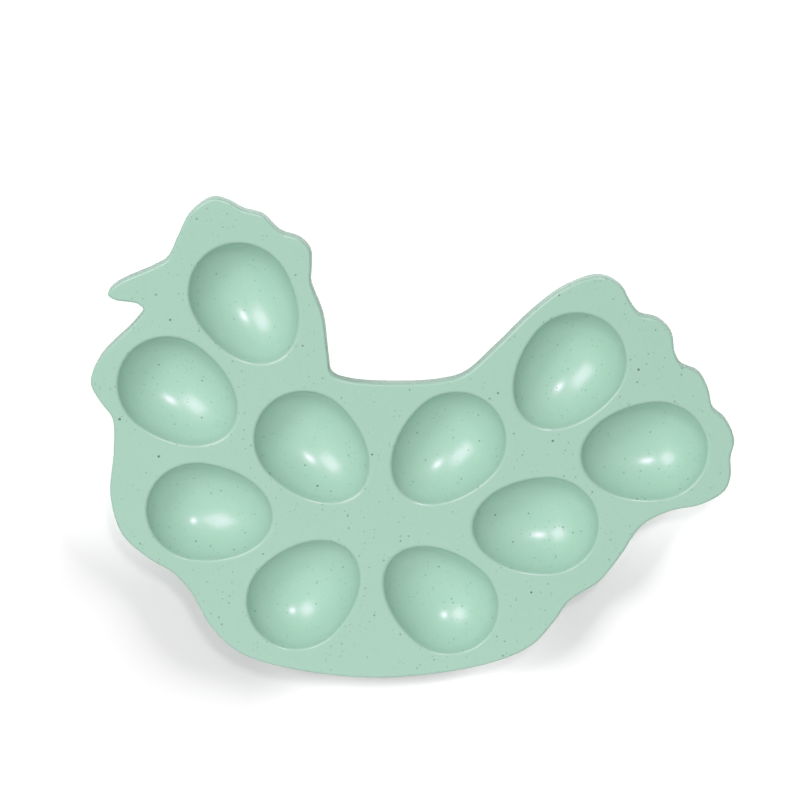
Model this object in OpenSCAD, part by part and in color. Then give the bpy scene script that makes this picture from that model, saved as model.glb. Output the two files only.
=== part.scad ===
// Deviled egg platter shaped like a standing hen, moulded in one piece with ten egg wells.
// It lies flat on the table with its beak towards -X and its comb towards +Y.
// The origin is on the table, under the middle of the platter's length and width.

/* [Platter] */
// Length at the foot of the skirt, from the breast to the tail
platter_l = 324; // [310:1:350]
// Width at the foot of the skirt, from the comb to the belly
platter_w = 250.5; // [240:0.5:270]
// Thickness of the moulding in the deck, the wells and the skirt
wall = 3; // [2.4:0.1:3.4]
// Height of the skirt, from the deck down to its foot
skirt_h = 7.5; // [7:0.5:12]
// Radius of the rounding between the deck and the skirt
rim_r = 1.4; // [1:0.1:1.8]
// How far the skirt leans out from the rounding to its foot
skirt_lean = 0.2; // [0:0.1:0.4]

/* [Egg wells] */
// Length of a well at the deck, from its blunt end to its narrow end
well_l = 64; // [60:0.1:67]
// Width of a well at the deck
well_w = 50.8; // [48:0.1:54]
// Depth of a well below the deck
well_depth = 21; // [17:0.5:23]
// Radius of the rounding between the deck and a well
lip_r = 1.6; // [1:0.1:2.6]
// Diameter of the flat under each well
land_d = 12; // [8:0.5:14]

/* [Anti-slip pads] */
// Diameter of a pad
pad_d = 11; // [6:0.5:12]
// Thickness of a pad
pad_h = 1.5; // [1:0.1:3]
// Bevel round the lower edge of a pad
pad_bevel = 0.4; // [0.2:0.1:0.5]

/* [Hidden] */

// Outline at the foot of the skirt, in shares of the length and the width, clockwise from the comb.
comb_shares = [
    [-0.307, 0.500], [-0.282, 0.493], [-0.260, 0.477], [-0.231, 0.466], [-0.204, 0.433],
    [-0.175, 0.419], [-0.158, 0.396], [-0.156, 0.362], [-0.157, 0.330]
];
neck_shares = [
    [-0.139, 0.263], [-0.131, 0.178], [-0.126, 0.144], [-0.100, 0.130]
];
saddle_shares = [
    [-0.021, 0.124], [0.042, 0.129], [0.079, 0.143], [0.127, 0.199], [0.184, 0.273], [0.233, 0.321]
];
tail_shares = [
    [0.286, 0.343], [0.318, 0.324], [0.335, 0.287], [0.348, 0.266], [0.377, 0.255], [0.398, 0.228],
    [0.404, 0.188], [0.414, 0.163], [0.442, 0.145], [0.457, 0.112], [0.466, 0.072], [0.486, 0.047],
    [0.500, 0.006], [0.495, -0.030], [0.496, -0.069], [0.487, -0.101], [0.450, -0.130]
];
rump_shares = [
    [0.401, -0.144], [0.359, -0.174], [0.326, -0.238], [0.293, -0.293], [0.247, -0.334], [0.223, -0.379]
];
belly_shares = [
    [0.188, -0.430], [0.119, -0.470], [-0.040, -0.500], [-0.182, -0.484], [-0.275, -0.446]
];
chest_shares = [
    [-0.321, -0.388], [-0.349, -0.320], [-0.377, -0.276], [-0.418, -0.242], [-0.457, -0.192],
    [-0.474, -0.110], [-0.467, -0.014]
];
wattle_shares = [
    [-0.468, 0.051], [-0.486, 0.085], [-0.500, 0.125], [-0.484, 0.178], [-0.428, 0.252]
];
beak_shares = [
    [-0.416, 0.275], [-0.425, 0.286], [-0.460, 0.294], [-0.470, 0.304], [-0.467, 0.315],
    [-0.452, 0.331], [-0.397, 0.363]
];
brow_shares = [
    [-0.378, 0.378], [-0.362, 0.419], [-0.342, 0.469]
];
outline_shares = concat(
    comb_shares, neck_shares, saddle_shares, tail_shares, rump_shares,
    belly_shares, chest_shares, wattle_shares, beak_shares, brow_shares
);

// Each well's place, in shares of the length and the width, where the well is widest and deepest.
comb_well_shares = [-0.266, 0.306];
breast_well_shares = [-0.378, 0.117];
chest_well_shares = [-0.337, -0.143];
neck_well_shares = [-0.168, 0.005];
belly_front_well_shares = [-0.183, -0.333];
belly_back_well_shares = [0.055, -0.343];
back_well_shares = [0.065, 0.003];
rump_well_shares = [0.210, -0.173];
tail_top_well_shares = [0.250, 0.165];
tail_tip_well_shares = [0.378, -0.016];

// Each well with the direction of its narrow end, in degrees from +X.
wells = [
    [comb_well_shares, 300],
    [breast_well_shares, 324],
    [chest_well_shares, 353],
    [neck_well_shares, 315],
    [belly_front_well_shares, 45],
    [belly_back_well_shares, 138],
    [back_well_shares, 226],
    [rump_well_shares, 182],
    [tail_top_well_shares, 232],
    [tail_tip_well_shares, 187]
];

// A well is widest this share of its length from its blunt end.
well_widest_share = 0.407;
blunt_l = well_l * well_widest_share;
narrow_l = well_l - blunt_l;

// A well is a bowl of revolution, drawn out to the two lengths on either side of its widest place.
half_w = well_w / 2;
bowl_up = (half_w * half_w - well_depth * well_depth) / (2 * well_depth);
bowl_r = bowl_up + well_depth;
shell_r = bowl_r + wall;

// The rounding circle passes its neighbours by this much, so that the edges cross cleanly.
lip_bite = 0.04;
lip_y = lip_bite - lip_r;
lip_x = sqrt(pow(bowl_r + lip_r - lip_bite, 2) - pow(bowl_up - lip_y, 2));
lip_edge_x = lip_x - sqrt(lip_r * lip_r - lip_y * lip_y);

// Heights above the table.
land_drop = sqrt(shell_r * shell_r - land_d * land_d / 4) - bowl_up;
deck_z = pad_h + land_drop;
foot_z = deck_z - skirt_h;

// Longest straight step along the outline, and steps round the rim's rounding.
outline_step = 4.6;
rim_steps = 4;
overrun = 1;
$fn = 96;

// Point at t between p1 and p2 of the smooth curve through p0, p1, p2 and p3.
function knot(a, b) = sqrt(norm(b - a));
function curve_point(p0, p1, p2, p3, t) =
    let (d0 = knot(p0, p1), d1 = knot(p1, p2), d2 = knot(p2, p3))
    let (m1 = d1 * ((p1 - p0) / d0 - (p2 - p0) / (d0 + d1)) + p2 - p1)
    let (m2 = d1 * ((p3 - p2) / d2 - (p3 - p1) / (d1 + d2)) + p2 - p1)
    (1 + 2 * t) * pow(1 - t, 2) * p1 + t * pow(1 - t, 2) * m1
    + t * t * (3 - 2 * t) * p2 + t * t * (t - 1) * m2;

// The closed outline, in steps no longer than outline_step.
function closed_curve(p) =
    let (n = len(p))
    [
        for (i = [0:n - 1])
            let (a = p[(i + n - 1) % n], b = p[i], c = p[(i + 1) % n], d = p[(i + 2) % n])
            let (steps = max(2, ceil(norm(c - b) / outline_step)))
            for (k = [0:steps - 1]) curve_point(a, b, c, d, k / steps)
    ];
outline = closed_curve([for (s = outline_shares) [s[0] * platter_l, s[1] * platter_w]]);

// Unit step from each outline point to the inside, lengthened at corners to keep the walls parallel.
function unit(v) = v / norm(v);
function right_of(v) = [v[1], -v[0]];
inward = [
    for (i = [0:len(outline) - 1])
        let (n = len(outline))
        let (a = right_of(unit(outline[i] - outline[(i + n - 1) % n])))
        let (b = right_of(unit(outline[(i + 1) % n] - outline[i])))
        let (m = unit(a + b))
        m / (m * a)
];
function inset_outline(d) = [for (i = [0:len(outline) - 1]) outline[i] + d * inward[i]];

// Cross-section of the rim, as pairs of inset and height, clockwise seen with the inside to the right.
rim_section = concat(
    [[rim_r + skirt_lean, foot_z], [0, foot_z]],
    [
        for (k = [0:rim_steps])
            let (turn = 90 * k / rim_steps)
            [skirt_lean + rim_r * (1 - cos(turn)), deck_z - rim_r * (1 - sin(turn))]
    ]
);

// Band all round the edge, swept along the outline: the skirt's outer face and the rounded rim.
module rim_band() {
    rings = [for (s = rim_section) [for (p = inset_outline(s[0])) [p[0], p[1], s[1]]]];
    n = len(outline);
    m = len(rings);
    polyhedron(
        points = [for (ring = rings) for (p = ring) p],
        faces = [
            for (j = [0:m - 1])
                for (i = [0:n - 1])
                    let (i2 = (i + 1) % n, j2 = (j + 1) % m)
                    for (f = [[j * n + i, j * n + i2, j2 * n + i2], [j * n + i, j2 * n + i2, j2 * n + i]]) f
        ]
    );
}

// The deck with its skirt, open underneath.
module deck_and_skirt() {
    rim_band();
    difference() {
        translate([0, 0, foot_z])
            linear_extrude(height = skirt_h)
                polygon(inset_outline(rim_r + skirt_lean));
        translate([0, 0, foot_z - overrun])
            linear_extrude(height = skirt_h - wall + overrun)
                offset(delta = -wall)
                    polygon(outline);
    }
}

// Half of a bowl's section turned round, then drawn out to the length of that end.
module drawn_bowl(blunt_scale, narrow_scale) {
    scale([blunt_scale, 1, 1])
        rotate([0, 0, 90])
            rotate_extrude(angle = 180)
                children();
    scale([narrow_scale, 1, 1])
        rotate([0, 0, -90])
            rotate_extrude(angle = 180)
                children();
}

// Section of the hollow of a well: the bowl, opening to the deck in a rounded lip.
module cavity_section() {
    difference() {
        union() {
            intersection() {
                translate([0, bowl_up])
                    circle(r = bowl_r);
                translate([0, -well_depth - overrun])
                    square([bowl_r, well_depth + overrun + lip_y]);
            }
            polygon([
                [0, lip_y - lip_r / 2],
                [half_w - wall, lip_y - lip_r / 2],
                [lip_x, lip_y],
                [lip_edge_x, 0],
                [lip_edge_x, overrun],
                [0, overrun]
            ]);
        }
        translate([lip_x, lip_y])
            circle(r = lip_r);
    }
}

// Section of the outside of a well: one wall thicker, cut flat at the bottom.
module shell_section() {
    intersection() {
        translate([0, bowl_up])
            circle(r = shell_r);
        translate([0, -land_drop])
            square([shell_r, land_drop - wall / 2]);
    }
}

module at_well(shares, turn) {
    translate([shares[0] * platter_l, shares[1] * platter_w, deck_z])
        rotate([0, 0, turn])
            children();
}

module platter_body() {
    color([0.67, 0.82, 0.75])
        difference() {
            union() {
                deck_and_skirt();
                for (w = wells)
                    at_well(w[0], w[1])
                        drawn_bowl((blunt_l + wall) / (half_w + wall), (narrow_l + wall) / (half_w + wall))
                            shell_section();
            }
            for (w = wells)
                at_well(w[0], w[1])
                    drawn_bowl(blunt_l / half_w, narrow_l / half_w)
                        cavity_section();
        }
}

// Round pad that stands between the flat of a well and the table.
module pad(shares) {
    color([0.86, 0.9, 0.87])
        translate([shares[0] * platter_l, shares[1] * platter_w, 0]) {
            cylinder(h = pad_bevel, d1 = pad_d - 2 * pad_bevel, d2 = pad_d);
            translate([0, 0, pad_bevel])
                cylinder(h = pad_h - pad_bevel, d = pad_d);
        }
}

module comb_pad() {
    pad(comb_well_shares);
}

module chest_pad() {
    pad(chest_well_shares);
}

module belly_pad() {
    pad(belly_back_well_shares);
}

module tail_tip_pad() {
    pad(tail_tip_well_shares);
}

module tail_top_pad() {
    pad(tail_top_well_shares);
}

platter_body();
comb_pad();
chest_pad();
belly_pad();
tail_tip_pad();
tail_top_pad();
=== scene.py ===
"""Hen-shaped deviled egg platter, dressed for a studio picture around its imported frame.

The platter is one speckled moulding: a flat deck with ten egg wells, a rounded rim and a
low skirt. Five rubber pads stand between the flats of its lowest wells and the table.
Lengths are in metres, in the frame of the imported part.
"""

import logging
import math
from dataclasses import dataclass
from enum import Enum
from typing import Sequence

import bmesh
import bpy
from mathutils import Matrix, Vector
from mathutils.kdtree import KDTree


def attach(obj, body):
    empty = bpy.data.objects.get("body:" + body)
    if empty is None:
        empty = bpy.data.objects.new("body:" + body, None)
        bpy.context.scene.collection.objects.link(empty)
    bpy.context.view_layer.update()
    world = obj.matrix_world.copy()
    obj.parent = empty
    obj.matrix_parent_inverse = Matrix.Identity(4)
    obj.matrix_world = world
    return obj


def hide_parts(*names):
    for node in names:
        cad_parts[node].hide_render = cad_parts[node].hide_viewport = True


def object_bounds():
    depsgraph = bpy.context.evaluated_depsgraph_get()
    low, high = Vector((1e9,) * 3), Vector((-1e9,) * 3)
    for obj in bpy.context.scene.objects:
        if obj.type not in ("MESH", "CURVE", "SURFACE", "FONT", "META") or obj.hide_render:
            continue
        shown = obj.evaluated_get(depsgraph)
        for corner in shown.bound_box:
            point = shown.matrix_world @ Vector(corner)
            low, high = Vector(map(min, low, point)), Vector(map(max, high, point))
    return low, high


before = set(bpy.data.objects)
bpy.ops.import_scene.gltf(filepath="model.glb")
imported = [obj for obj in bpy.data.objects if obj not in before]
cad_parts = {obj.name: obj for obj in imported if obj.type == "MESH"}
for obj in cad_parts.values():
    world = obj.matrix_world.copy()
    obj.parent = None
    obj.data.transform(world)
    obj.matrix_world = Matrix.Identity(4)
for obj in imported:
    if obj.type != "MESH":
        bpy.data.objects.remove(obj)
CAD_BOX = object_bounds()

log = logging.getLogger("platter")

Pair = tuple[float, float]
Colour = tuple[float, float, float]

MM = 0.001
WELD = 0.001 * MM
# Mesh attribute that masks the painted shade on the outer edge, from the deck down the rim.
EDGE_SHADE_MASK = "edge"

# The colour sockets of a Mix node, by number, because its names repeat.
MIX_SHARE, MIX_FIRST, MIX_SECOND, MIX_RESULT = 0, 6, 7, 2


class Body(Enum):
    """The bodies of the frame that pieces ride on."""

    ROOT = "root"


class Slot(Enum):
    """The record's material slots."""

    SPECKLED_MINT = "speckled_mint"
    PAD_RUBBER = "pad_rubber"


class Reach(Enum):
    """What a light of the studio lights."""

    ALL = "all"
    FLOOR = "floor_alone"
    PLATTER = "platter_alone"


class Keep(Enum):
    """What happens to a face of a helper solid once the solids are joined, as its material number."""

    DROPPED = 0
    KEPT = 1


class Sock:
    """One output of a node, on which Python arithmetic adds Math nodes."""

    def __init__(self, graph: "Graph", socket: bpy.types.NodeSocket) -> None:
        """Wraps one output socket of a graph.

        Args:
            graph: The node tree that the socket belongs to.
            socket: The output socket.
        """
        self.graph = graph
        self.socket = socket

    def _math(self, operation: str, *others: "Value") -> "Sock":
        """Adds one Math node whose first input is this socket."""
        return self.graph.math(operation, self, *others)

    def __add__(self, other: "Value") -> "Sock":
        """Sum."""
        return self._math("ADD", other)

    def __radd__(self, other: "Value") -> "Sock":
        """Sum, with the number first."""
        return self.graph.math("ADD", other, self)

    def __sub__(self, other: "Value") -> "Sock":
        """Difference."""
        return self._math("SUBTRACT", other)

    def __rsub__(self, other: "Value") -> "Sock":
        """Difference, with the number first."""
        return self.graph.math("SUBTRACT", other, self)

    def __mul__(self, other: "Value") -> "Sock":
        """Product."""
        return self._math("MULTIPLY", other)

    def __rmul__(self, other: "Value") -> "Sock":
        """Product, with the number first."""
        return self.graph.math("MULTIPLY", other, self)

    def __pow__(self, other: "Value") -> "Sock":
        """Power."""
        return self._math("POWER", other)

    def __lt__(self, other: "Value") -> "Sock":
        """One where this is less, and nought elsewhere."""
        return self._math("LESS_THAN", other)

    def fall(self, start: "Value", end: "Value") -> "Sock":
        """A smooth fall from one, up to start, to nought, past end.

        Args:
            start: Value at which the fall starts.
            end: Value at which the fall ends.

        Returns:
            The smoothed step.
        """
        return self.graph.node(
            "ShaderNodeMapRange",
            {"interpolation_type": "SMOOTHSTEP"},
            {"Value": self, "From Min": start, "From Max": end, "To Min": 1.0, "To Max": 0.0},
        )


Value = Sock | float
Tint = Colour | Sock


@dataclass(frozen=True)
class Noise:
    """How fine a noise is: its waves per metre, its number of finer layers and their strength."""

    scale: float
    detail: float = 2.0
    rough: float = 0.5


class Graph:
    """The node tree of one material, or of the surroundings."""

    def __init__(self, owner: bpy.types.Material | bpy.types.World) -> None:
        """Empties the owner's tree and starts it again.

        Args:
            owner: The material or world whose nodes are to be made.
        """
        owner.use_nodes = True
        self.tree = owner.node_tree
        self.tree.nodes.clear()

    def node(
        self,
        kind: str,
        settings: dict[str, object],
        inputs: dict[str | int, object],
        output: str | int = 0,
    ) -> Sock:
        """Adds any node.

        Args:
            kind: The node's type.
            settings: Its properties, which are set before its sockets.
            inputs: A value or a link for each input, by its name or its number.
            output: Name or number of the output to return.

        Returns:
            The chosen output.
        """
        made = self.tree.nodes.new(kind)
        for name, value in settings.items():
            setattr(made, name, value)
        for name, value in inputs.items():
            if isinstance(value, Sock):
                self.tree.links.new(value.socket, made.inputs[name])
            else:
                made.inputs[name].default_value = value
        return Sock(self, made.outputs[output])

    def math(self, operation: str, *values: Value) -> Sock:
        """Adds a Math node.

        Args:
            operation: The Math node's operation.
            values: Its inputs, in order.

        Returns:
            Its result.
        """
        return self.node("ShaderNodeMath", {"operation": operation}, dict(enumerate(values)))

    def place(self) -> Sock:
        """Object coordinates."""
        return self.node("ShaderNodeTexCoord", {}, {}, "Object")

    def part(self, vector: Sock, axis: str) -> Sock:
        """One coordinate of a vector, by its axis."""
        return self.node("ShaderNodeSeparateXYZ", {}, {"Vector": vector}, axis)

    def larger(self, first: Value, second: Value) -> Sock:
        """The larger of two values."""
        return self.math("MAXIMUM", first, second)

    def noise(self, at: Sock, noise: Noise, output: str = "Fac") -> Sock:
        """Soft noise between nought and one.

        Args:
            at: Where to read it.
            noise: How fine it is.
            output: Fac for one number, or Color for three.

        Returns:
            The noise.
        """
        inputs = {"Vector": at, "Scale": noise.scale, "Detail": noise.detail, "Roughness": noise.rough}
        return self.node("ShaderNodeTexNoise", {}, inputs, output)

    def bump(self, height: Sock, strength: float, distance: float) -> Sock:
        """Normals bent by a height.

        Args:
            height: The height, in shares of the distance.
            strength: Share of the bending that shows.
            distance: Height that one stands for.

        Returns:
            The normals.
        """
        inputs = {"Height": height, "Strength": strength, "Distance": distance}
        return self.node("ShaderNodeBump", {}, inputs, "Normal")

    def blend(self, share: Value, first: Tint, second: Tint) -> Sock:
        """Mixes two colours.

        Args:
            share: Share of the second colour.
            first: Colour or socket.
            second: Colour or socket.

        Returns:
            The mixed colour.
        """
        inputs = {MIX_SHARE: share, MIX_FIRST: rgba(first), MIX_SECOND: rgba(second)}
        return self.node("ShaderNodeMix", {"data_type": "RGBA"}, inputs, MIX_RESULT)

    def finish(self, inputs: dict[str, object]) -> None:
        """Adds the surface shader and the material's output.

        Args:
            inputs: Values and links of the surface shader's sockets.
        """
        shader = self.node("ShaderNodeBsdfPrincipled", {}, inputs)
        self.show(shader, "ShaderNodeOutputMaterial")

    def show(self, shader: Sock, kind: str) -> None:
        """Links a shader to a new output of the kind that is named."""
        made = self.tree.nodes.new(kind)
        self.tree.links.new(shader.socket, made.inputs["Surface"])


def rgba(colour: Tint) -> tuple[float, ...] | Sock:
    """A colour with its alpha, or the socket that was given."""
    return colour if isinstance(colour, Sock) else (*colour, 1.0)


@dataclass(frozen=True)
class SpeckLayer:
    """One size of dark specks in the moulding compound.

    A speck sits in a share of the cells of a jumbled grid, and shows where the surface cuts it.
    The offset moves the grid, so that the sizes lie apart.
    """

    cell: float
    radius: float
    share: float
    depth: float
    offset: float


@dataclass(frozen=True)
class SpeckledMint:
    """Semi-gloss mint moulding compound with fine dark specks.

    The stray makes the specks uneven, and the crowd gathers them loosely. A speck is at full
    strength up to the crisp share of its radius, and the palest has the palest share of its
    layer's depth. The outer edge is darkened towards the specks' colour as painted shade, and
    the gloss is tinted away from green.
    """

    base: Colour = (0.443, 0.707, 0.565)
    pale: Colour = (0.505, 0.780, 0.633)
    speck: Colour = (0.030, 0.110, 0.065)
    gloss: Colour = (1.0, 0.70, 1.0)
    cloud: Noise = Noise(22.0, 3.0, 0.55)
    grain: Noise = Noise(900.0)
    grain_share: float = 0.65
    # Painted shade: share of the way to the specks' colour at the bottom of the outer edge's round.
    index: float = 1.62
    edge_shade_share: float = 0.40
    roughness: float = 0.25
    roughness_swing: float = 0.04
    speck_roughness: float = 0.2
    ripple: float = 0.05
    ripple_height: float = 1.0 * MM
    fine_share: float = 0.12
    speck_dent: float = 0.5
    wave: Noise = Noise(60.0, 1.0, 0.4)
    fine: Noise = Noise(420.0)
    stray: Noise = Noise(900.0, 1.0)
    stray_reach: float = 0.30 * MM
    crowd: Noise = Noise(130.0, 1.0)
    crowd_share: float = 0.8
    crisp: float = 0.75
    palest: float = 0.5
    layers: tuple[SpeckLayer, ...] = (
        SpeckLayer(cell=2.5 * MM, radius=0.46 * MM, share=0.35, depth=0.42, offset=0.0),
        SpeckLayer(cell=4.4 * MM, radius=0.62 * MM, share=0.36, depth=0.56, offset=3.1),
        SpeckLayer(cell=9.0 * MM, radius=0.72 * MM, share=0.33, depth=0.84, offset=7.7),
    )

    def material(self) -> bpy.types.Material:
        """Makes the material.

        Returns:
            The speckled material.
        """
        made = bpy.data.materials.new(Slot.SPECKLED_MINT.value)
        graph = Graph(made)
        at = graph.place()
        cloud = graph.noise(at, self.cloud)
        specks = self._specks(graph, at)
        tone = (1.0 - self.grain_share) * cloud + self.grain_share * graph.noise(at, self.grain)
        tinted = graph.blend(tone, self.base, self.pale)
        # Painted shade: the edge mask darkens the rim's round and the skirt towards the specks' colour.
        edge = graph.node("ShaderNodeAttribute", {"attribute_name": EDGE_SHADE_MASK}, {}, "Fac")
        body = graph.blend(edge * self.edge_shade_share, tinted, self.speck)
        fine = self.fine_share * graph.noise(at, self.fine)
        height = graph.noise(at, self.wave) + fine - self.speck_dent * specks
        swing = self.roughness_swing * (cloud - 0.5)
        graph.finish({
            "Base Color": graph.blend(specks, body, self.speck),
            "Roughness": self.roughness + swing + self.speck_roughness * specks,
            "Normal": graph.bump(height, self.ripple, self.ripple_height),
            "IOR": self.index,
            "Specular Tint": rgba(self.gloss),
        })
        return made

    def _specks(self, graph: Graph, at: Sock) -> Sock:
        """Lays the specks of all sizes over each other.

        Args:
            graph: The material's nodes.
            at: Where to read them.

        Returns:
            Their strength, from nought to one.
        """
        wobble = graph.noise(at, self.stray, "Color")
        shift = graph.node(
            "ShaderNodeVectorMath", {"operation": "SCALE"}, {0: wobble, "Scale": self.stray_reach}
        )
        strayed = graph.node("ShaderNodeVectorMath", {"operation": "ADD"}, {0: at, 1: shift})
        crowd = self.crowd_share * (graph.noise(at, self.crowd) - 0.5)
        total: Value = 0.0
        for layer in self.layers:
            moved = graph.node(
                "ShaderNodeVectorMath", {"operation": "ADD"}, {0: strayed, 1: (layer.offset,) * 3}
            )
            cells = {"Vector": moved, "Scale": 1.0 / layer.cell, "Randomness": 1.0}
            distance = graph.node("ShaderNodeTexVoronoi", {}, cells, "Distance")
            tint = graph.node("ShaderNodeTexVoronoi", {}, cells, "Color")
            red = graph.node("ShaderNodeSeparateColor", {}, {"Color": tint}, "Red")
            green = graph.node("ShaderNodeSeparateColor", {}, {"Color": tint}, "Green")
            reach = layer.radius / layer.cell
            dot = distance.fall(reach * self.crisp, reach)
            there = (red + crowd) < layer.share
            strength = self.palest + (1.0 - self.palest) * green
            total = graph.larger(total, dot * there * strength * layer.depth)
        return total


@dataclass(frozen=True)
class PadRubber:
    """Matt, pale grey-green silicone rubber."""

    base: Colour = (0.62, 0.68, 0.64)
    dusty: Colour = (0.52, 0.57, 0.54)
    cloud: Noise = Noise(160.0)
    grain: Noise = Noise(1800.0, 3.0, 0.6)
    roughness: float = 0.6
    roughness_swing: float = 0.15
    pitting: float = 0.25
    pitting_height: float = 0.1 * MM

    def material(self) -> bpy.types.Material:
        """Makes the material.

        Returns:
            The rubber material.
        """
        made = bpy.data.materials.new(Slot.PAD_RUBBER.value)
        graph = Graph(made)
        at = graph.place()
        grain = graph.noise(at, self.grain)
        graph.finish({
            "Base Color": graph.blend(graph.noise(at, self.cloud), self.base, self.dusty),
            "Roughness": self.roughness + self.roughness_swing * grain,
            "Normal": graph.bump(grain, self.pitting, self.pitting_height),
        })
        return made


@dataclass(frozen=True)
class PaleFloor:
    """Plain pale studio floor, which glows a little except where the two soft shadows lie.

    It glows at the back, in front of the middle, far in front and far aside. Each of these has
    a line where its glow is full and one where it ends. In front of the middle the glow is down
    to the belly's share as far as belly_from, and full from belly_to.
    """

    base: Colour = (0.77, 0.77, 0.77)
    pale: Colour = (0.79, 0.79, 0.79)
    dark: Colour = (0.0, 0.0, 0.0)
    glow: Colour = (0.35, 0.35, 0.35)
    cloud: Noise = Noise(3.0)
    roughness: float = 0.85
    roughness_swing: float = 0.05
    gloss: float = 0.15
    back_full: float = -20 * MM
    back_end: float = -90 * MM
    middle_full: float = 30 * MM
    middle_end: float = 90 * MM
    belly_share: float = 0.75
    belly_from: float = -129 * MM
    belly_to: float = -138 * MM
    far_full: float = -190 * MM
    far_end: float = -150 * MM
    side_full: float = 260 * MM
    side_end: float = 190 * MM

    def material(self) -> bpy.types.Material:
        """Makes the material.

        Returns:
            The floor's material.
        """
        made = bpy.data.materials.new("pale_floor")
        graph = Graph(made)
        at = graph.place()
        cloud = graph.noise(at, self.cloud)
        back = graph.part(at, "Y")
        aside = graph.math("ABSOLUTE", graph.part(at, "X"))
        clear = back.fall(self.belly_to, self.belly_from)
        middle = aside.fall(self.middle_full, self.middle_end)
        middle = middle * (self.belly_share + (1.0 - self.belly_share) * clear)
        beside = 1.0 - aside.fall(self.side_end, self.side_full)
        share = back.fall(self.back_full, self.back_end)
        for other in (middle, beside, back.fall(self.far_full, self.far_end)):
            share = graph.larger(share, other)
        graph.finish({
            "Base Color": graph.blend(cloud, self.base, self.pale),
            "Roughness": self.roughness + self.roughness_swing * cloud,
            "Specular IOR Level": self.gloss,
            "Emission Color": graph.blend(share, self.dark, self.glow),
            "Emission Strength": 1.0,
        })
        return made


def loop_edges(verts: Sequence[bmesh.types.BMVert]) -> list[bmesh.types.BMEdge]:
    """Edges that join each vertex of a closed loop to the next.

    Args:
        verts: The loop's vertices, in order.

    Returns:
        The edges, in order.
    """
    pairs = zip(verts, [*verts[1:], verts[0]])
    return [next(e for e in first.link_edges if second in e.verts) for first, second in pairs]


def start_loop(bm: bmesh.types.BMesh, points: Sequence[Vector]) -> list[bmesh.types.BMVert]:
    """Adds a closed loop of edges.

    Args:
        bm: Mesh to add to.
        points: Corners of the loop, in order.

    Returns:
        The loop's vertices.
    """
    verts = [bm.verts.new(p) for p in points]
    for first, second in zip(verts, [*verts[1:], verts[0]]):
        bm.edges.new((first, second))
    return verts


def next_loop(
    bm: bmesh.types.BMesh,
    verts: Sequence[bmesh.types.BMVert],
    points: Sequence[Vector],
    keep: Keep = Keep.KEPT,
) -> list[bmesh.types.BMVert]:
    """Extrudes a closed loop to new places.

    Args:
        bm: Mesh to add to.
        verts: The loop's vertices, in order.
        points: Where each one's copy goes.
        keep: What happens to the new faces once solids are joined.

    Returns:
        The new loop's vertices, in the same order.
    """
    made = bmesh.ops.extrude_edge_only(bm, edges=loop_edges(verts))["geom"]
    fresh = {v for v in made if isinstance(v, bmesh.types.BMVert)}
    for face in (f for f in made if isinstance(f, bmesh.types.BMFace)):
        face.material_index = keep.value
    moved = [next(e.other_vert(v) for e in v.link_edges if e.other_vert(v) in fresh) for v in verts]
    for vert, point in zip(moved, points):
        vert.co = point
    return moved


def fill_level(bm: bmesh.types.BMesh, height: float, keep: Keep = Keep.KEPT) -> None:
    """Fills the flat region between all open loops at one height.

    Args:
        bm: Mesh to add to.
        height: Height of the loops.
        keep: What happens to the new faces once solids are joined.
    """
    bmesh.ops.remove_doubles(bm, verts=bm.verts, dist=5 * WELD)
    level = {v for v in bm.verts if abs(v.co.z - height) < WELD}
    edges = [e for e in bm.edges if len(e.link_faces) < 2 and level.issuperset(e.verts)]
    made = bmesh.ops.triangle_fill(bm, use_beauty=True, use_dissolve=False, edges=edges, normal=(0, 0, 1))
    for face in (f for f in made["geom"] if isinstance(f, bmesh.types.BMFace)):
        face.material_index = keep.value


def arc(centre: Pair, radius: float, start: float, end: float, steps: int) -> list[Pair]:
    """Points of an arc in a section.

    Args:
        centre: Across and up.
        radius: The arc's radius.
        start: Angle of its first point, in degrees from across.
        end: Angle of its last point, in degrees.
        steps: Number of straight steps.

    Returns:
        The points, both ends included.
    """
    turns = (math.radians(start + (end - start) * k / steps) for k in range(steps + 1))
    return [(centre[0] + radius * math.cos(t), centre[1] + radius * math.sin(t)) for t in turns]


def to_mesh(bm: bmesh.types.BMesh, name: str) -> bpy.types.Mesh:
    """Turns a bmesh into a mesh.

    Args:
        bm: The bmesh, which is freed.
        name: Name of the mesh.

    Returns:
        The mesh.
    """
    mesh = bpy.data.meshes.new(name)
    bm.to_mesh(mesh)
    bm.free()
    return mesh


def add_copy(bm: bmesh.types.BMesh, mesh: bpy.types.Mesh, place: Matrix) -> None:
    """Adds a copy of a mesh at a place.

    Args:
        bm: Mesh to add to.
        mesh: What to copy.
        place: Where the copy goes.
    """
    copy = mesh.copy()
    copy.transform(place)
    bm.from_mesh(copy)
    bpy.data.meshes.remove(copy)


def spun(section: Sequence[Pair], sides: int) -> bmesh.types.BMesh:
    """Spins a section a full turn about the Z axis.

    Args:
        section: Across and up, from the axis outwards.
        sides: Number of steps of the turn.

    Returns:
        The surface of revolution.
    """
    bm = bmesh.new()
    verts = [bm.verts.new((across, 0.0, up)) for across, up in section]
    edges = [bm.edges.new(pair) for pair in zip(verts, verts[1:])]
    bmesh.ops.spin(
        bm, geom=[*verts, *edges], cent=(0, 0, 0), axis=(0, 0, 1),
        angle=math.tau, steps=sides, use_merge=True,
    )
    bmesh.ops.remove_doubles(bm, verts=bm.verts, dist=WELD)
    return bm


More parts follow.
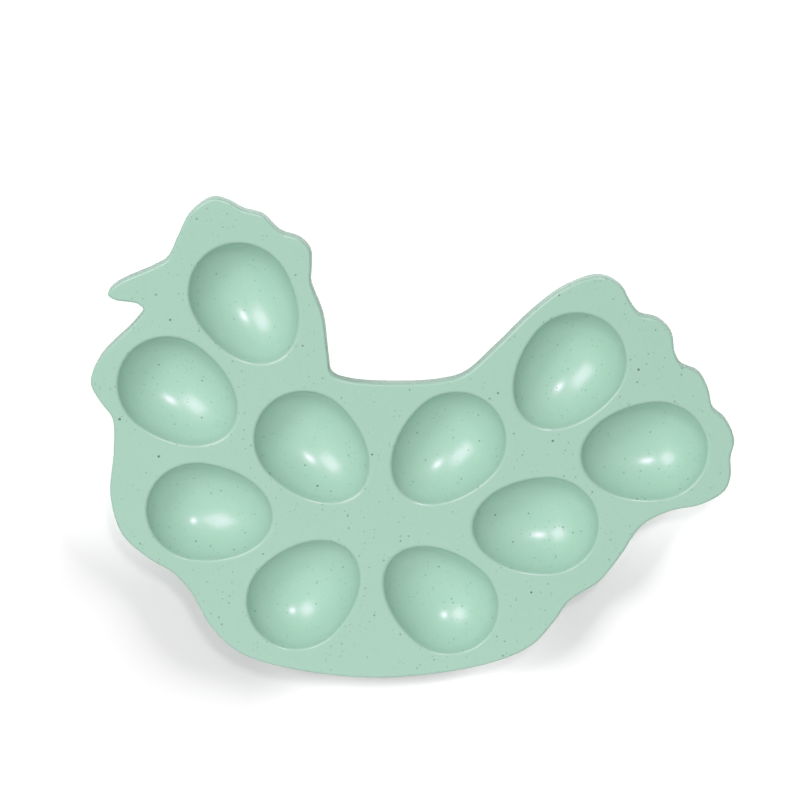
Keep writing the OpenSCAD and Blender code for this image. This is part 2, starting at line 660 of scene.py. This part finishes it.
def to_object(
    bm: bmesh.types.BMesh, name: str, material: bpy.types.Material, sharp: float
) -> bpy.types.Object:
    """Turns a finished bmesh into a smooth-shaded object at the origin.

    Args:
        bm: The mesh, which is freed.
        name: Name of the object.
        material: Its finish.
        sharp: Angle in degrees from which an edge is sharp.

    Returns:
        The linked object.
    """
    for face in bm.faces:
        face.material_index = 0
        face.smooth = True
    mesh = to_mesh(bm, name)
    mesh.materials.append(material)
    mesh.set_sharp_from_angle(angle=math.radians(sharp))
    made = bpy.data.objects.new(name, mesh)
    bpy.context.scene.collection.objects.link(made)
    return made


@dataclass
class Outline:
    """The hen's outline at the foot of the skirt, smooth through listed shares.

    The shares are of the length and the width, from the middle, clockwise from the comb. A point
    of an inset has folded over when it is closer to the outline than the fold share of the inset,
    less the fold gap.
    """

    length: float = 324 * MM
    width: float = 250.5 * MM
    step: float = 1.5 * MM
    fewest_steps: int = 3
    fold_share: float = 0.985
    fold_gap: float = 0.01 * MM
    comb: tuple[Pair, ...] = (
        (-0.307, 0.500), (-0.282, 0.493), (-0.260, 0.477), (-0.231, 0.466), (-0.204, 0.433),
        (-0.175, 0.419), (-0.158, 0.396), (-0.156, 0.362), (-0.157, 0.330),
    )
    neck: tuple[Pair, ...] = ((-0.139, 0.263), (-0.131, 0.178), (-0.126, 0.144), (-0.100, 0.130))
    saddle: tuple[Pair, ...] = (
        (-0.021, 0.124), (0.042, 0.129), (0.079, 0.143), (0.127, 0.199), (0.184, 0.273), (0.233, 0.321),
    )
    tail: tuple[Pair, ...] = (
        (0.286, 0.343), (0.318, 0.324), (0.335, 0.287), (0.348, 0.266), (0.377, 0.255), (0.398, 0.228),
        (0.404, 0.188), (0.414, 0.163), (0.442, 0.145), (0.457, 0.112), (0.466, 0.072), (0.486, 0.047),
        (0.500, 0.006), (0.495, -0.030), (0.496, -0.069), (0.487, -0.101), (0.450, -0.130),
    )
    rump: tuple[Pair, ...] = (
        (0.401, -0.144), (0.359, -0.174), (0.326, -0.238), (0.293, -0.293), (0.247, -0.334),
        (0.223, -0.379),
    )
    belly: tuple[Pair, ...] = (
        (0.188, -0.430), (0.119, -0.470), (-0.040, -0.500), (-0.182, -0.484), (-0.275, -0.446),
    )
    chest: tuple[Pair, ...] = (
        (-0.321, -0.388), (-0.349, -0.320), (-0.377, -0.276), (-0.418, -0.242), (-0.457, -0.192),
        (-0.474, -0.110), (-0.467, -0.014),
    )
    wattle: tuple[Pair, ...] = (
        (-0.468, 0.051), (-0.486, 0.085), (-0.500, 0.125), (-0.484, 0.178), (-0.428, 0.252),
    )
    beak: tuple[Pair, ...] = (
        (-0.416, 0.275), (-0.425, 0.286), (-0.460, 0.294), (-0.470, 0.304), (-0.467, 0.315),
        (-0.452, 0.331), (-0.397, 0.363),
    )
    brow: tuple[Pair, ...] = ((-0.378, 0.378), (-0.362, 0.419), (-0.342, 0.469))

    def __post_init__(self) -> None:
        """Works out the smooth outline, its inward directions and its search tree."""
        shares = (
            *self.comb, *self.neck, *self.saddle, *self.tail, *self.rump,
            *self.belly, *self.chest, *self.wattle, *self.beak, *self.brow,
        )
        knots = [Vector((x * self.length, y * self.width)) for x, y in shares]
        self.points = self._fitted(self._smooth(knots))
        self.inward = self._inward()
        self.tree = KDTree(len(self.points))
        for index, point in enumerate(self.points):
            self.tree.insert(point.to_3d(), index)
        self.tree.balance()

    def _smooth(self, knots: list[Vector]) -> list[Vector]:
        """Draws a closed smooth curve through the knots.

        Args:
            knots: Points that the curve goes through, in order.

        Returns:
            The curve's points.
        """
        count = len(knots)
        points = []
        for i in range(count):
            p0, p1, p2, p3 = (knots[(i + k) % count] for k in (-1, 0, 1, 2))
            d0, d1, d2 = (math.sqrt((b - a).length) for a, b in ((p0, p1), (p1, p2), (p2, p3)))
            m1 = d1 * ((p1 - p0) / d0 - (p2 - p0) / (d0 + d1)) + p2 - p1
            m2 = d1 * ((p3 - p2) / d2 - (p3 - p1) / (d1 + d2)) + p2 - p1
            steps = max(self.fewest_steps, math.ceil((p2 - p1).length / self.step))
            for k in range(steps):
                t = k / steps
                points.append(
                    (1 + 2 * t) * (1 - t) ** 2 * p1 + t * (1 - t) ** 2 * m1
                    + t * t * (3 - 2 * t) * p2 + t * t * (t - 1) * m2
                )
        return points

    def _fitted(self, points: list[Vector]) -> list[Vector]:
        """Draws the curve in by a hair where its finer steps pass the frame's box.

        Args:
            points: The curve's points.

        Returns:
            The points inside the box.
        """
        fits = []
        for axis in (0, 1):
            reach = max(abs(p[axis]) for p in points)
            room = min(abs(CAD_BOX[0][axis]), abs(CAD_BOX[1][axis]))
            fits.append(min(1.0, room / reach))
        return [Vector((p.x * fits[0], p.y * fits[1])) for p in points]

    def _inward(self) -> list[Vector]:
        """Works out the way to the inside, longer at corners so that the walls stay parallel.

        Returns:
            One step for each of the outline's points.
        """
        steps = []
        count = len(self.points)
        for i in range(count):
            before = (self.points[i] - self.points[i - 1]).normalized()
            after = (self.points[(i + 1) % count] - self.points[i]).normalized()
            side = Vector((before.y, -before.x))
            middle = (side + Vector((after.y, -after.x))).normalized()
            steps.append(middle / middle.dot(side))
        return steps

    def inset(self, distance: float, height: float) -> list[Vector]:
        """The outline moved inwards, with points that fold over at tight corners gathered.

        Args:
            distance: How far inwards.
            height: Height of the points.

        Returns:
            One point for each of the outline's.
        """
        moved = [p + distance * m for p, m in zip(self.points, self.inward)]
        least = distance * self.fold_share - self.fold_gap
        good = [self.tree.find(p.to_3d())[2] > least for p in moved]
        count = len(moved)
        kept = []
        for i in range(count):
            back = next((k for k in range(count) if good[i - k]), 0)
            ahead = next((k for k in range(count) if good[(i + k) % count]), 0)
            source = moved[i - back] if back <= ahead else moved[(i + ahead) % count]
            kept.append(Vector((source.x, source.y, height)))
        return kept


@dataclass(frozen=True)
class Well:
    """Where one well is, in shares of the length and the width, and where its narrow end points."""

    name: str
    across: float
    up: float
    turn: float


@dataclass
class WellForm:
    """The egg shape of every well: a bowl of revolution drawn out to its blunt and narrow ends.

    The widest place is a share of the length from the blunt end. The guard is a flat ring round
    the lip. Outside, the land is the flat underneath, and a flare leads into the deck, ending a
    bite inside it. The outside's curve starts some degrees past the edge of the land.
    """

    length: float = 64 * MM
    width: float = 50.8 * MM
    depth: float = 21 * MM
    widest: float = 0.407
    lip: float = 1.6 * MM
    wall: float = 3 * MM
    land: float = 12 * MM
    land_round: float = 1.2 * MM
    flare: float = 1.0 * MM
    bite: float = 0.05 * MM
    guard: float = 0.3 * MM
    sides: int = 96
    bowl_steps: int = 26
    lip_steps: int = 9
    shell_start: float = 2.2
    shell_steps: int = 15
    flare_steps: int = 4
    land_ring: float = 0.5

    def __post_init__(self) -> None:
        """Works out the bowl's circle and its drawing-out."""
        half = self.width / 2
        self.rise = (half * half - self.depth * self.depth) / (2 * self.depth)
        self.radius = self.rise + self.depth
        self.outer = self.radius + self.wall
        self.blunt = self.length * self.widest
        self.narrow = self.length - self.blunt
        self.drop = math.sqrt(self.outer ** 2 - self.land ** 2 / 4) - self.rise

    def hollow_section(self) -> list[Pair]:
        """Draws the hollow, from the bottom of the bowl up over the lip onto the deck.

        Returns:
            Its section, across and up from the deck.
        """
        reach = self.radius + self.lip
        level = self.rise + self.lip
        lean = math.degrees(math.asin(level / reach))
        across = math.sqrt(reach * reach - level * level)
        bowl = arc((0.0, self.rise), self.radius, -90.0, -lean, self.bowl_steps)
        lip = arc((across, -self.lip), self.lip, 180.0 - lean, 90.0, self.lip_steps)
        return [*bowl, *lip[1:], (across + self.guard, 0.0)]

    def shell_section(self) -> list[Pair]:
        """Draws the outside, from its flat up to a flare that ends inside the deck.

        Returns:
            Its section, across and up from the deck.
        """
        centre = (0.0, self.rise)
        reach = self.outer + self.flare
        level = self.rise + self.wall + self.flare - self.bite
        lean = math.degrees(math.asin(level / reach))
        across = math.sqrt(reach * reach - level * level)
        flat = self.land / 2
        start = math.degrees(math.atan2(-self.drop - self.rise, flat)) + self.shell_start
        shell = arc(centre, self.outer, start, -lean, self.shell_steps)
        flare = arc((across, -level + self.rise), self.flare, 180.0 - lean, 90.0, self.flare_steps)
        base = [(out, -self.drop) for out in (0.0, flat * self.land_ring, flat - self.land_round / 2)]
        return [*base, *shell, *flare[1:]]

    def lathe(self, section: Sequence[Pair], wall: float) -> bmesh.types.BMesh:
        """Spins a section and draws the two halves out to the egg shape.

        Args:
            section: Across and up, from the middle outwards.
            wall: How much larger the egg is than the hollow, all round.

        Returns:
            The egg shape round the origin, with its narrow end towards +X.
        """
        bm = spun(section, self.sides)
        half = self.width / 2 + wall
        for end, side in ((self.narrow, 1), (self.blunt, -1)):
            half_verts = [v for v in bm.verts if v.co.x * side > WELD]
            bmesh.ops.scale(bm, vec=((end + wall) / half, 1.0, 1.0), verts=half_verts)
        return bm


@dataclass
class Platter:
    """The speckled moulding: deck, ten wells, rounded rim and skirt, with an even wall.

    The lean is how far the skirt's foot stands out past the rim. The guard is a flat ring inside
    the rim. The helper solid of a well reaches up to shell_top above the deck's underside.
    """

    outline: Outline
    form: WellForm
    material: bpy.types.Material
    foot_pad: float = 1.5 * MM
    skirt: float = 7.5 * MM
    rim: float = 1.4 * MM
    lean: float = 0.2 * MM
    guard: float = 0.4 * MM
    rim_steps: int = 8
    edge_round: float = 0.6 * MM
    edge_steps: int = 3
    inner_round: float = 1.0 * MM
    inner_steps: int = 4
    shell_top: float = 0.8 * MM
    sharp: float = 32.0
    wells: tuple[Well, ...] = (
        Well("comb", -0.266, 0.306, 300.0),
        Well("breast", -0.378, 0.117, 324.0),
        Well("chest", -0.337, -0.143, 353.0),
        Well("neck", -0.168, 0.005, 315.0),
        Well("belly_front", -0.183, -0.333, 45.0),
        Well("belly_back", 0.055, -0.343, 138.0),
        Well("back", 0.065, 0.003, 226.0),
        Well("rump", 0.210, -0.173, 182.0),
        Well("tail_top", 0.250, 0.165, 232.0),
        Well("tail_tip", 0.378, -0.016, 187.0),
    )

    def __post_init__(self) -> None:
        """Works out the heights above the table."""
        self.deck = self.foot_pad + self.form.drop
        self.foot = self.deck - self.skirt

    def place(self, well: Well) -> Matrix:
        """Where a well's middle is at the deck, turned to its narrow end."""
        at = Vector((well.across * self.outline.length, well.up * self.outline.width, self.deck))
        return Matrix.Translation(at) @ Matrix.Rotation(math.radians(well.turn), 4, "Z")

    def rim_section(self) -> list[Pair]:
        """Draws the edge, from the deck over the rim and down round the foot.

        Returns:
            Its section, as inset and height.
        """
        inset = self.lean + self.rim
        turn = self.edge_round
        top = arc((inset, self.deck - self.rim), self.rim, 90.0, 180.0, self.rim_steps)
        out = arc((turn, self.foot + turn), turn, 180.0, 270.0, self.edge_steps)
        back = arc((self.form.wall - turn, self.foot + turn), turn, 270.0, 360.0, self.edge_steps)
        return [(inset + self.guard, self.deck), *top, *out, *back]

    def top_sheet(self, bm: bmesh.types.BMesh) -> None:
        """Adds the deck, the hollows with their lips, the rim, the skirt's face and its foot.

        Args:
            bm: Mesh to add to.
        """
        section = self.rim_section()
        verts = start_loop(bm, self.outline.inset(*section[0]))
        for inset, height in section[1:]:
            verts = next_loop(bm, verts, self.outline.inset(inset, height))
        hollow = to_mesh(self.form.lathe(self.form.hollow_section(), 0.0), "hollow")
        for well in self.wells:
            add_copy(bm, hollow, self.place(well))
        bpy.data.meshes.remove(hollow)
        fill_level(bm, self.deck)

    def under_blank(self) -> bpy.types.Object:
        """Makes the helper solid whose lower side is the deck's underside, inside the skirt.

        Returns:
            The helper.
        """
        bm = bmesh.new()
        wall = self.form.wall
        under = self.deck - wall
        low = self.foot + self.edge_round
        turn = self.inner_round
        inner = arc((wall + turn, under - turn), turn, 180.0, 90.0, self.inner_steps)
        first = start_loop(bm, self.outline.inset(wall, low))
        verts = next_loop(bm, first, self.outline.inset(wall / 2, low), Keep.DROPPED)
        next_loop(bm, verts, self.outline.inset(wall / 2, self.deck - wall / 2), Keep.DROPPED)
        verts = first
        for inset, height in inner:
            verts = next_loop(bm, verts, self.outline.inset(inset, height))
        fill_level(bm, under)
        fill_level(bm, self.deck - wall / 2, Keep.DROPPED)
        return self._helper(bm, "under_blank")

    def shell_blanks(self) -> list[bpy.types.Object]:
        """Makes the helper solids whose outsides are the outsides of the wells.

        Returns:
            One helper for each well.
        """
        section = self.form.shell_section()
        top = (section[-1][0], -self.form.wall + self.shell_top)
        egg = self.form.lathe([*section, top], self.form.wall)
        rim = [e for e in egg.edges if e.is_boundary]
        bmesh.ops.contextual_create(egg, geom=rim)
        for face in egg.faces:
            face.material_index = Keep.KEPT.value
        shell = to_mesh(egg, "shell")
        made = []
        for well in self.wells:
            bm = bmesh.new()
            add_copy(bm, shell, self.place(well))
            made.append(self._helper(bm, f"{well.name}_blank"))
        bpy.data.meshes.remove(shell)
        return made

    @staticmethod
    def _helper(bm: bmesh.types.BMesh, name: str) -> bpy.types.Object:
        """Closes a helper solid and points its faces outwards.

        Args:
            bm: The solid's mesh, which is freed.
            name: Name of the helper.

        Returns:
            The linked helper.
        """
        bmesh.ops.remove_doubles(bm, verts=bm.verts, dist=WELD)
        bmesh.ops.dissolve_degenerate(bm, edges=bm.edges, dist=WELD)
        bmesh.ops.recalc_face_normals(bm, faces=bm.faces)
        mesh = to_mesh(bm, name)
        for keep in Keep:
            mesh.materials.append(bpy.data.materials.get(keep.name) or bpy.data.materials.new(keep.name))
        made = bpy.data.objects.new(name, mesh)
        bpy.context.scene.collection.objects.link(made)
        return made

    def under_sheet(self, bm: bmesh.types.BMesh) -> None:
        """Adds the deck's underside, the skirt's inner face and the outsides of the wells.

        Args:
            bm: Mesh to add to.
        """
        blank = self.under_blank()
        shells = self.shell_blanks()
        for shell in shells:
            cut = blank.modifiers.new(shell.name, "BOOLEAN")
            cut.operation = "UNION"
            cut.solver = "EXACT"
            cut.object = shell
        graph = bpy.context.evaluated_depsgraph_get()
        joined = bpy.data.meshes.new_from_object(blank.evaluated_get(graph))
        part = bmesh.new()
        part.from_mesh(joined)
        dropped = [f for f in part.faces if f.material_index == Keep.DROPPED.value]
        bmesh.ops.delete(part, geom=dropped, context="FACES")
        part.to_mesh(joined)
        part.free()
        bm.from_mesh(joined)
        for helper in [blank, *shells]:
            bpy.data.meshes.remove(helper.data)
        bpy.data.meshes.remove(joined)

    def _mark_painted_edge_shade(self, bm: bmesh.types.BMesh) -> None:
        """Marks where painted shade darkens the outer edge, from nought on the deck to one at the bottom
        of the rim's round.

        Args:
            bm: The finished mesh.
        """
        layer = bm.verts.layers.float.new(EDGE_SHADE_MASK)
        for vert in bm.verts:
            inset = self.outline.tree.find((vert.co.x, vert.co.y, 0.0))[2]
            if inset < self.form.wall / 2:
                vert[layer] = min(1.0, max(0.0, (self.deck - vert.co.z) / self.rim))

    def build(self) -> bpy.types.Object:
        """Builds and dresses the moulding.

        Returns:
            The platter's object.
        """
        bm = bmesh.new()
        self.top_sheet(bm)
        self.under_sheet(bm)
        bmesh.ops.remove_doubles(bm, verts=bm.verts, dist=2 * WELD)
        bmesh.ops.dissolve_degenerate(bm, edges=bm.edges, dist=WELD)
        bmesh.ops.recalc_face_normals(bm, faces=bm.faces)
        self._mark_painted_edge_shade(bm)
        open_edges = sum(1 for e in bm.edges if not e.is_manifold)
        log.info("platter mesh: %d faces, %d open edges", len(bm.faces), open_edges)
        made = to_object(bm, "speckled_platter", self.material, self.sharp)
        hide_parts("platter_body")
        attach(made, Body.ROOT.value)
        return made


@dataclass
class Pads:
    """The round rubber pads under five of the outer wells."""

    platter: Platter
    material: bpy.types.Material
    diameter: float = 11 * MM
    edge: float = 0.4 * MM
    dimple: float = 0.12 * MM
    dimple_shares: tuple[float, float, float] = (0.6, 0.7, 0.76)
    lower_steps: int = 4
    upper_steps: int = 3
    sides: int = 64
    sharp: float = 40.0
    under: tuple[tuple[str, str], ...] = (
        ("comb_pad", "comb"), ("chest_pad", "chest"), ("belly_pad", "belly_back"),
        ("tail_tip_pad", "tail_tip"), ("tail_top_pad", "tail_top"),
    )

    def build(self) -> list[bpy.types.Object]:
        """Builds and dresses every pad.

        Returns:
            The pads' objects.
        """
        wells = {well.name: well for well in self.platter.wells}
        return [self._pad(node, wells[name]) for node, name in self.under]

    def _pad(self, node: str, well: Well) -> bpy.types.Object:
        """Builds one pad, a disc with rounded edges and a shallow dimple underneath.

        Args:
            node: Name of the CAD node that it stands for.
            well: The well that stands on it.

        Returns:
            The pad's object.
        """
        height = self.platter.foot_pad
        half = self.diameter / 2
        lower, upper = self.edge, self.edge / 2
        inner, middle, outer = (half * share for share in self.dimple_shares)
        section = [
            (0.0, self.dimple), (inner, self.dimple), (middle, self.dimple / 2), (outer, 0.0),
            *arc((half - lower, lower), lower, -90.0, 0.0, self.lower_steps),
            *arc((half - upper, height - upper), upper, 0.0, 90.0, self.upper_steps),
            (0.0, height),
        ]
        bm = spun(section, self.sides)
        bmesh.ops.recalc_face_normals(bm, faces=bm.faces)
        at = self.platter.place(well).translation
        bmesh.ops.translate(bm, verts=bm.verts, vec=(at.x, at.y, 0.0))
        made = to_object(bm, f"rubber_{node}", self.material, self.sharp)
        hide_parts(node)
        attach(made, Body.ROOT.value)
        return made


def towards(turn: float, lean: float) -> Vector:
    """Unit direction to a place in the studio.

    Args:
        turn: Turn from +X, in degrees.
        lean: Lean from straight above, in degrees.

    Returns:
        The direction.
    """
    turned, leaned = math.radians(turn), math.radians(lean)
    side = math.sin(leaned)
    return Vector((side * math.cos(turned), side * math.sin(turned), math.cos(leaned)))


@dataclass(frozen=True)
class Glow:
    """A broad soft brightness of the surroundings, strongest towards its turn and lean."""

    turn: float
    lean: float
    strength: float


@dataclass(frozen=True)
class Softbox:
    """One square studio light, aimed at the middle of the platter.

    Its turn is from +X and its lean from straight above, in degrees. A light that does not shine
    lights the pieces without showing in their gloss.
    """

    name: str
    turn: float
    lean: float
    distance: float
    size: float
    power: float
    reach: Reach = Reach.ALL
    shines: bool = True


@dataclass
class Studio:
    """Pale floor, soft lights and the camera, which is aimed at a point of the deck."""

    floor: PaleFloor
    deck: float
    aim: Pair = (-6.71 * MM, 22.58 * MM)
    camera_lean: float = 14.0
    camera_distance: float = 1.4048
    lens: float = 126.0
    sensor: float = 36.0
    nearest: float = 0.05
    farthest: float = 20.0
    floor_half: float = 3.0
    floor_cells: int = 8
    floor_sharp: float = 30.0
    glow_focus: float = 4.0
    glows: tuple[Glow, ...] = (
        Glow(0.0, 52.0, 0.12),
        Glow(45.0, 52.0, 0.48),
        Glow(135.0, 52.0, 1.07),
        Glow(225.0, 52.0, 0.35),
        Glow(270.0, 52.0, 0.36),
    )
    lights: tuple[Softbox, ...] = (
        Softbox("small_softbox", 71.0, 31.0, 4.0, 0.55, 32.0),
        Softbox("large_softbox", 135.0, 35.0, 2.2, 1.02, 17.0, Reach.PLATTER),
        Softbox("front_fill", 270.0, 52.0, 0.7, 0.50, 0.95, Reach.PLATTER, shines=False),
        Softbox("floor_right", 25.0, 62.0, 2.4, 0.90, 57.0, Reach.FLOOR),
        Softbox("floor_left", 155.0, 50.0, 2.4, 0.80, 43.0, Reach.FLOOR),
    )

    def build(self, pieces: Sequence[bpy.types.Object]) -> None:
        """Makes the floor, the lights, the surroundings and the camera.

        Args:
            pieces: The objects of the platter, which some lights are kept to.
        """
        floor = self._floor()
        kept = {Reach.FLOOR: [floor], Reach.PLATTER: pieces}
        lit = {reach: self._receivers(reach, objects) for reach, objects in kept.items()}
        # The floor's own glow lights nothing else.
        floor.light_linking.receiver_collection = lit[Reach.FLOOR]
        for light in self.lights:
            made = self._light(light)
            if light.reach in lit:
                made.light_linking.receiver_collection = lit[light.reach]
        self._surroundings()
        self._camera()

    @staticmethod
    def _receivers(reach: Reach, objects: Sequence[bpy.types.Object]) -> bpy.types.Collection:
        """Collects the objects that a light can be kept to.

        Args:
            reach: What the light lights.
            objects: Its objects.

        Returns:
            The collection.
        """
        made = bpy.data.collections.new(reach.value)
        for item in objects:
            made.objects.link(item)
        return made

    def _floor(self) -> bpy.types.Object:
        """Makes the floor that the platter stands on.

        Returns:
            The floor's object.
        """
        bm = bmesh.new()
        cells = self.floor_cells
        bmesh.ops.create_grid(bm, x_segments=cells, y_segments=cells, size=self.floor_half)
        made = to_object(bm, "studio_floor", self.floor.material(), self.floor_sharp)
        return made

    @staticmethod
    def _light(light: Softbox) -> bpy.types.Object:
        """Makes one softbox, in its place.

        Args:
            light: The softbox.

        Returns:
            Its light object.
        """
        data = bpy.data.lights.new(light.name, "AREA")
        data.shape = "SQUARE"
        data.size = light.size
        data.energy = light.power
        made = bpy.data.objects.new(light.name, data)
        away = towards(light.turn, light.lean)
        made.location = away * light.distance
        made.rotation_mode = "QUATERNION"
        made.rotation_quaternion = (-away).to_track_quat("-Z", "Y")
        made.visible_glossy = light.shines
        bpy.context.scene.collection.objects.link(made)
        return made

    def _surroundings(self) -> None:
        """Makes the soft white light from above the horizon, and shows colours without a film look."""
        world = bpy.data.worlds.new("studio")
        graph = Graph(world)
        ahead = graph.node("ShaderNodeTexCoord", {}, {}, "Generated")
        total: Value = 0.0
        for glow in self.glows:
            facing = graph.node(
                "ShaderNodeVectorMath", {"operation": "DOT_PRODUCT"},
                {0: ahead, 1: towards(glow.turn, glow.lean)}, "Value",
            )
            total = total + graph.larger(facing, 0.0) ** self.glow_focus * glow.strength
        total = total * graph.larger(graph.part(ahead, "Z"), 0.0)
        back = graph.node("ShaderNodeBackground", {}, {"Color": (1.0, 1.0, 1.0, 1.0), "Strength": total})
        graph.show(back, "ShaderNodeOutputWorld")
        scene = bpy.context.scene
        scene.world = world
        scene.view_settings.view_transform = "Standard"

    def _camera(self) -> None:
        """Makes the camera, leaning from straight above towards the comb, which is at the top."""
        data = bpy.data.cameras.new("camera")
        data.lens = self.lens
        data.sensor_width = self.sensor
        data.clip_start = self.nearest
        data.clip_end = self.farthest
        made = bpy.data.objects.new("camera", data)
        lean = math.radians(self.camera_lean)
        back = Vector((0.0, math.sin(lean), math.cos(lean)))
        up = Vector((0.0, math.cos(lean), -math.sin(lean)))
        axes = Matrix((up.cross(back), up, back)).transposed()
        target = Vector((*self.aim, self.deck))
        made.matrix_world = Matrix.Translation(target + back * self.camera_distance) @ axes.to_4x4()
        bpy.context.scene.collection.objects.link(made)
        bpy.context.scene.camera = made


def main() -> None:
    """Builds every piece in order and reports it."""
    logging.basicConfig(level=logging.INFO, format="%(name)s: %(message)s")
    mint = SpeckledMint().material()
    rubber = PadRubber().material()
    platter = Platter(Outline(), WellForm(), mint)
    pieces = [platter.build(), *Pads(platter, rubber).build()]
    for piece in pieces:
        log.info("%s: %d faces", piece.name, len(piece.data.polygons))
    Studio(PaleFloor(), platter.deck).build(pieces)
    log.info("studio: floor, lights and camera")


if __name__ == "__main__":
    main()
